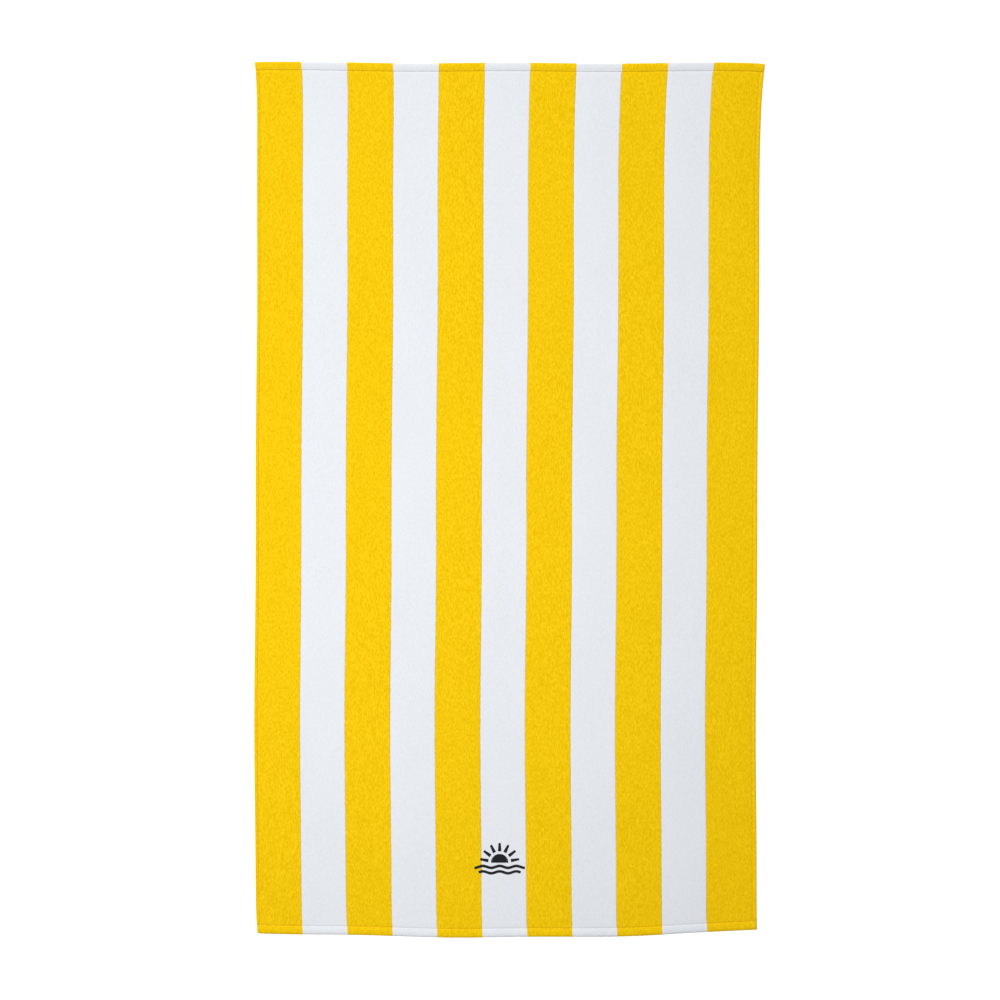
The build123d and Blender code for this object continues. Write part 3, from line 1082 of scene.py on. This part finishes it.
def pile_material(colour, place):
    """The terry of one colour, on the face, on the back or turned in a hem."""
    cloth = bpy.context.scene.towel_cloth
    tone = cloth.yellow if colour == "yellow" else cloth.white
    depth = cloth.yellow_shaded_depth if colour == "yellow" else cloth.white_shaded_depth
    # Painted shade: the back pile is a 5% darker copy of the face pile, and the hem pile is darker by
    # the hem painted shade.
    shade = {"Face": 0.0, "Back": -0.05, "Hem": -cloth.hem_painted_shade}[place]
    tuft = cloth.loop if place == "Back" else cloth.tuft
    bump = tuft * (0.3 if place == "Back" else 0.12)
    name = f"{colour.capitalize()} {place} Pile"
    return kept_material(name, terry_material, shaded(tone, shade), shaded(depth, shade), tuft, bump)


def lay_piles(face, texture, make):
    """Makes every stripe's pile on one face of the cloth."""
    for i in range(STRIPES):
        node = stripe_name(face, i)
        colour = node.split("_")[2]
        material = pile_material(colour, face.capitalize())
        piece = new_piece(f"{texture}_{node}", [make(i)], [material])
        dress(piece, f"{colour}_{face}_pile", node)


# ---------------------------------------------------------------- settings


def size_prop(name, description, default):
    """A length in metres."""
    return FloatProperty(
        name=name, description=description, default=default, min=0.0, precision=5,
        unit="LENGTH", subtype="DISTANCE",
    )


def number_prop(name, description, default, **options):
    """A number, with limits and a unit where it has them."""
    return FloatProperty(name=name, description=description, default=default, **options)


def power_prop(name, description, default):
    """A light's power in watts."""
    return number_prop(name, description, default, min=0.0, subtype="POWER", unit="POWER")


def offset_prop(name, description, default):
    """A length in metres that may be negative."""
    return number_prop(name, description, default, subtype="DISTANCE", unit="LENGTH")


def colour_prop(name, description, default):
    """A linear colour."""
    return FloatVectorProperty(
        name=name, description=description, default=default, size=3, min=0.0, max=1.0,
        subtype="COLOR",
    )


class TowelClothSettings(bpy.types.PropertyGroup):
    """Sizes and colours of the piles and the ground cloth."""

    yellow: colour_prop("Yellow", "Colour of the yellow stripes", (0.835, 0.535, 0.0035))
    # The depth colours are the pile's colour with painted shade, darker where its clumps sink.
    yellow_shaded_depth: colour_prop("Yellow Shaded Depth", "Colour deep in the yellow pile", (0.757, 0.470, 0.0))
    white: colour_prop("White", "Colour of the white stripes", (0.735, 0.757, 0.797))
    white_shaded_depth: colour_prop("White Shaded Depth", "Colour deep in the white pile", (0.717, 0.738, 0.777))
    ground: colour_prop("Ground", "Colour of the woven ground", (0.62, 0.55, 0.38))
    # Painted shade: how much darker the hems' pile is painted than the face pile.
    hem_painted_shade: number_prop("Hem Painted Shade", "How much darker the hems' pile looks", 0.01, min=0.0, max=0.5)
    ripple: size_prop("Ripple", "Height of the faint long ripples", 0.7 * MM)
    tuft: size_prop("Tuft", "Size of one tuft of cut pile", 1.5 * MM)
    loop: size_prop("Loop", "Size of one loop of the back pile", 1.9 * MM)
    clump: size_prop("Clump", "Width of the clumps that the pile stands in", 2.8 * MM)
    wander: size_prop("Wander", "How far the stripes' edges wander to the side", 0.45 * MM)
    parting: size_prop("Parting", "How far a stripe's pile stands back from its neighbour's", 0.4 * MM)
    overhang: size_prop("Overhang", "How far the pile closes over a seam", 0.64 * MM)
    face_relief: size_prop("Face Relief", "Height of the clumps on the face", 0.045 * MM)
    back_relief: size_prop("Back Relief", "Height of the clumps on the back", 0.12 * MM)
    face_pitch: size_prop("Face Spacing", "Distance between mesh lines across the face", 1.5 * MM)
    face_step: size_prop("Face Step", "Distance between mesh lines along the face", 1.8 * MM)
    back_pitch: size_prop("Back Spacing", "Distance between mesh lines on the back", 2.8 * MM)
    ground_pitch: size_prop("Ground Spacing", "Distance between mesh lines on the ground", 8.0 * MM)
    seam_dip: size_prop("Seam Dip", "How far the pile rounds down at a seam", 0.85 * MM)
    seam_reach: size_prop("Seam Reach", "How far from a seam the pile rounds down", 3.4 * MM)
    seam_dent: size_prop("Seam Dent", "Depth of the broad dent that a seam pulls in", 0.2 * MM)
    dent_reach: size_prop("Dent Reach", "How far from a seam its dent reaches", 13 * MM)
    stripe_dip: size_prop("Stripe Dip", "How far the pile rounds down between stripes", 0.9 * MM)
    stripe_reach: size_prop("Stripe Reach", "How far from a stripe's edge it rounds down", 1.5 * MM)


class TowelSewingSettings(bpy.types.PropertyGroup):
    """Sizes and colours of the hems and their seams."""

    thread_colour: colour_prop("Thread Colour", "Colour of the seam threads", (0.74, 0.60, 0.20))
    seam_stitch: size_prop("Stitch", "Length of one seam stitch", 4.4 * MM)
    seam_thread: size_prop("Thread", "Thickness of the seam threads", 0.5 * MM)
    hem_roll: number_prop("Roll", "Share of a hem's width that its edge rounds", 0.32, min=0.1, max=0.6)
    hem_crest: size_prop("Crest", "Height of the end hems' highest line", 5.6 * MM)
    side_crest: size_prop("Side Crest", "Height of the side hems' highest line", 4.7 * MM)
    hem_fall: number_prop("Fall", "How much a hem falls towards its seam", 0.11, min=0.0, max=0.5)
    hem_drop: size_prop("Drop", "Width over which the hems drop to the seam", 1.7 * MM)
    dimple: size_prop("Dimple", "How far a stitch pulls the hem down", 0.35 * MM)
    pucker: size_prop("Pucker", "Height of the hems' puckers", 0.12 * MM)
    hem_relief: size_prop("Hem Relief", "Height of the hems' grain", 0.04 * MM)


class TowelEmbroiderySettings(bpy.types.PropertyGroup):
    """Sizes and colours of the embroidery, its stabiliser and the care label."""

    colour: colour_prop("Thread Colour", "Colour of the embroidery", (0.018, 0.022, 0.026))
    bobbin_colour: colour_prop("Bobbin Colour", "Colour of the bobbin thread", (0.035, 0.038, 0.042))
    backing_colour: colour_prop("Stabiliser", "Colour of the stabiliser", (0.74, 0.74, 0.71))
    label_colour: colour_prop("Label", "Colour of the care label", (0.80, 0.80, 0.77))
    stitch_pitch: size_prop("Stitch Pitch", "Distance between neighbouring stitches", 0.42 * MM)
    fill_stitch: size_prop("Fill Stitch", "Length of one stitch of the sun's fill", 4.4 * MM)
    thread: size_prop("Thread", "Thickness of the embroidery thread", 0.46 * MM)
    bobbin_thread: size_prop("Bobbin Thread", "Thickness of the bobbin thread", 0.26 * MM)


class TowelStageSettings(bpy.types.PropertyGroup):
    """Light, floor and camera."""

    dome: number_prop("Dome", "Strength of the even light all round", 0.2, min=0.0)
    key: power_prop("Key", "Power of the light from the upper left", 265.0)
    overhead: power_prop("Overhead", "Power of the light above", 43.0)
    glow: number_prop("Floor Glow", "Light that comes up through the floor", 0.4, min=0.0)
    floor: colour_prop("Floor", "Colour of the floor", (0.97, 0.97, 0.97))
    floor_size: size_prop("Floor Size", "Width of the floor", 60.0)
    camera_height: size_prop("Camera Height", "Height of the camera", 6.0)
    camera_aside: offset_prop("Camera Aside", "How far right the camera stands", -19.45 * MM)
    camera_along: offset_prop("Camera Along", "How far up the towel the camera stands", -0.7 * MM)
    view_height: size_prop("View Height", "Height of what the camera sees on the floor", 2.0332)


# ---------------------------------------------------------------- operators


class TOWEL_OT_ground_cloth(bpy.types.Operator):
    """Weave the ground cloth that both piles are rooted in"""

    bl_idname = "towel.ground_cloth"
    bl_label = "Weave Ground Cloth"

    def execute(self, context):
        cloth = context.scene.towel_cloth
        material = kept_material("Ground Weave", woven_material, cloth.ground, 0.6 * MM, 0.85, 0.0)
        piece = new_piece("ground_weave", [ground_sheet()], [material])
        dress(piece, "ground_cloth", "ground_cloth")
        return {"FINISHED"}


class TOWEL_OT_face_piles(bpy.types.Operator):
    """Raise the cut pile of every stripe on the face"""

    bl_idname = "towel.face_piles"
    bl_label = "Raise Face Piles"

    def execute(self, context):
        lay_piles("face", "velour", face_pile)
        return {"FINISHED"}


class TOWEL_OT_back_piles(bpy.types.Operator):
    """Raise the looped pile of every stripe on the back"""

    bl_idname = "towel.back_piles"
    bl_label = "Raise Back Piles"

    def execute(self, context):
        lay_piles("back", "looped", back_pile)
        return {"FINISHED"}


class TOWEL_OT_end_hems(bpy.types.Operator):
    """Turn the hems across the bottom and the top"""

    bl_idname = "towel.end_hems"
    bl_label = "Turn End Hems"

    def execute(self, context):
        materials = [pile_material("yellow", "Hem"), pile_material("white", "Hem")]
        for edge in ("bottom", "top"):
            part, paint = end_hem(edge == "top")
            piece = new_piece(f"turned_hem_{edge}", [part], materials, [paint])
            dress(piece, "striped_hem", f"hem_{edge}")
        return {"FINISHED"}


class TOWEL_OT_side_hems(bpy.types.Operator):
    """Turn the hems along the left and the right"""

    bl_idname = "towel.side_hems"
    bl_label = "Turn Side Hems"

    def execute(self, context):
        for side, edge in ((-1, "left"), (1, "right")):
            material = pile_material("yellow", "Hem")
            piece = new_piece(f"turned_hem_{edge}", [side_hem(side)], [material])
            dress(piece, "yellow_hem", f"hem_{edge}")
        return {"FINISHED"}


class TOWEL_OT_seams(bpy.types.Operator):
    """Sew the needle thread and the bobbin thread of the four hem seams"""

    bl_idname = "towel.seams"
    bl_label = "Sew Hem Seams"

    def execute(self, context):
        sewing = context.scene.towel_sewing
        material = kept_material(
            "Seam Thread", thread_material, sewing.thread_colour, 0.6, sewing.seam_thread * 0.7, 0.0
        )
        for kind in ("needle", "bobbin"):
            for edge in ("bottom", "top", "left", "right"):
                part = seam_thread(edge, kind == "needle")
                piece = new_piece(f"{kind}_stitches_{edge}", [part], [material])
                dress(piece, "seam_thread", f"{kind}_thread_{edge}")
        return {"FINISHED"}


class TOWEL_OT_embroidery(bpy.types.Operator):
    """Embroider the sun, its rays and the waves, with the stabiliser and bobbin side behind"""

    bl_idname = "towel.embroidery"
    bl_label = "Embroider Motif"

    def execute(self, context):
        work = context.scene.towel_embroidery
        satin = kept_material(
            "Embroidery Thread", thread_material, work.colour, 0.45, 0.3 * MM, 0.04 * MM
        )
        for name in ("sun", "rays", "waves"):
            piece = new_piece(f"stitched_{name}", embroidered(name), [satin])
            dress(piece, "embroidery_thread", f"embroidery_{name}")
        dull = kept_material(
            "Bobbin Thread", thread_material, work.bobbin_colour, 0.6, 0.2 * MM, 0.02 * MM
        )
        piece = new_piece("stitched_bobbin_side", bobbin_fill(), [dull])
        dress(piece, "embroidery_bobbin", "embroidery_bobbin")
        felt = kept_material("Stabiliser", felt_material, work.backing_colour)
        piece = new_piece("cut_stabiliser", [backing_sheet()], [felt])
        dress(piece, "stabiliser", "embroidery_backing")
        return {"FINISHED"}


class TOWEL_OT_care_label(bpy.types.Operator):
    """Sew the blank care label in at the bottom hem, on the back"""

    bl_idname = "towel.care_label"
    bl_label = "Sew Care Label"

    def execute(self, context):
        work = context.scene.towel_embroidery
        tape = kept_material("Label Tape", woven_material, work.label_colour, 0.35 * MM, 0.5, 0.05 * MM)
        piece = new_piece("folded_care_label", [label_tape()], [tape])
        dress(piece, "label_tape", "care_label")
        return {"FINISHED"}


class TOWEL_OT_declare_cloth(bpy.types.Operator):
    """A step that does nothing: the pieces are not declared as one sheet of cloth"""

    bl_idname = "towel.declare_cloth"
    bl_label = "Declare the Cloth"

    def execute(self, context):
        return {"FINISHED"}


class TOWEL_OT_stage(bpy.types.Operator):
    """Set the floor, the soft studio light and the camera straight above"""

    bl_idname = "towel.stage"
    bl_label = "Set Stage"

    def execute(self, context):
        stage = context.scene.towel_stage
        lay_floor(stage)
        light_world(stage)
        soft_box("key", stage.key, KEY_PLACE, KEY_SIZE)
        soft_box("overhead", stage.overhead, OVERHEAD_PLACE, OVERHEAD_SIZE)
        stand_camera(stage)
        context.scene.view_settings.view_transform = "Standard"
        return {"FINISHED"}


# ---------------------------------------------------------------- stage


def lay_floor(stage):
    """A wide pale floor just under the towel."""
    half = stage.floor_size / 2
    mesh = bpy.data.meshes.new("studio_floor")
    corners = [(-half, -half), (half, -half), (half, half), (-half, half)]
    mesh.from_pydata([(x, y, -FLOOR_GAP) for x, y in corners], [], [(0, 1, 2, 3)])
    floor = bpy.data.objects.new("studio_floor", mesh)
    bpy.context.scene.collection.objects.link(floor)
    material, tree, shader, coordinates = fresh_material("Studio Floor", 1.0)
    grain = noise(tree, coordinates, 3.0, 2.0, 0.5)
    tone = blended(tree, grain, shaded(stage.floor, -0.004), stage.floor)
    inputs = {"Specular IOR Level": 0.0, "Base Color": tone}
    inputs |= {"Emission Color": (1.0, 1.0, 1.0), "Emission Strength": stage.glow}
    for label, value in inputs.items():
        feed(tree, shader.inputs[label], value)
    mesh.materials.append(material)


def light_world(stage):
    """Even white light from all round."""
    world = bpy.data.worlds.new("Studio")
    world.use_nodes = True
    background = world.node_tree.nodes["Background"]
    background.inputs["Color"].default_value = (1.0, 1.0, 1.0, 1.0)
    background.inputs["Strength"].default_value = stage.dome
    bpy.context.scene.world = world


def soft_box(name, power, place, size):
    """A square soft light aimed at the middle of the towel."""
    light = bpy.data.lights.new(name, "AREA")
    light.energy = power
    light.size = size
    lamp = bpy.data.objects.new(name, light)
    lamp.location = place
    lamp.rotation_euler = (-Vector(place)).to_track_quat("-Z", "Y").to_euler()
    bpy.context.scene.collection.objects.link(lamp)


def stand_camera(stage):
    """A camera that looks straight down on the towel, its top edge up."""
    data = bpy.data.cameras.new("camera")
    data.lens = data.sensor_width * (stage.camera_height - FACE_HIGH) / stage.view_height
    camera = bpy.data.objects.new("camera", data)
    camera.location = (stage.camera_aside, stage.camera_along, stage.camera_height)
    bpy.context.scene.collection.objects.link(camera)
    bpy.context.scene.camera = camera


# ---------------------------------------------------------------- panel and registration


PIECE_STEPS = (
    TOWEL_OT_ground_cloth,
    TOWEL_OT_face_piles,
    TOWEL_OT_back_piles,
    TOWEL_OT_end_hems,
    TOWEL_OT_side_hems,
    TOWEL_OT_seams,
    TOWEL_OT_embroidery,
    TOWEL_OT_care_label,
    TOWEL_OT_declare_cloth,
    TOWEL_OT_stage,
)

SETTINGS = {
    "towel_cloth": TowelClothSettings,
    "towel_sewing": TowelSewingSettings,
    "towel_embroidery": TowelEmbroiderySettings,
    "towel_stage": TowelStageSettings,
}


class TOWEL_PT_steps(bpy.types.Panel):
    """The towel's steps and settings"""

    bl_idname = "TOWEL_PT_steps"
    bl_label = "Beach Towel"
    bl_space_type = "VIEW_3D"
    bl_region_type = "UI"
    bl_category = "Towel"

    def draw(self, context):
        for step in PIECE_STEPS:
            self.layout.operator(step.bl_idname)
        for name, group in SETTINGS.items():
            box = self.layout.box()
            settings = getattr(context.scene, name)
            for label in group.__annotations__:
                box.prop(settings, label)


def register():
    """Registers the settings, the steps and the panel."""
    for name, group in SETTINGS.items():
        bpy.utils.register_class(group)
        setattr(bpy.types.Scene, name, PointerProperty(type=group))
    for step in (*PIECE_STEPS, TOWEL_PT_steps):
        bpy.utils.register_class(step)


def unregister():
    """Takes the panel, the steps and the settings away again."""
    for step in (TOWEL_PT_steps, *reversed(PIECE_STEPS)):
        bpy.utils.unregister_class(step)
    for name, group in reversed(SETTINGS.items()):
        delattr(bpy.types.Scene, name)
        bpy.utils.unregister_class(group)


def main():
    """Makes the whole towel and its stage."""
    register()
    bpy.ops.towel.ground_cloth()
    bpy.ops.towel.face_piles()
    bpy.ops.towel.back_piles()
    bpy.ops.towel.end_hems()
    bpy.ops.towel.side_hems()
    bpy.ops.towel.seams()
    bpy.ops.towel.embroidery()
    bpy.ops.towel.care_label()
    bpy.ops.towel.declare_cloth()
    bpy.ops.towel.stage()


if __name__ == "__main__":
    main()
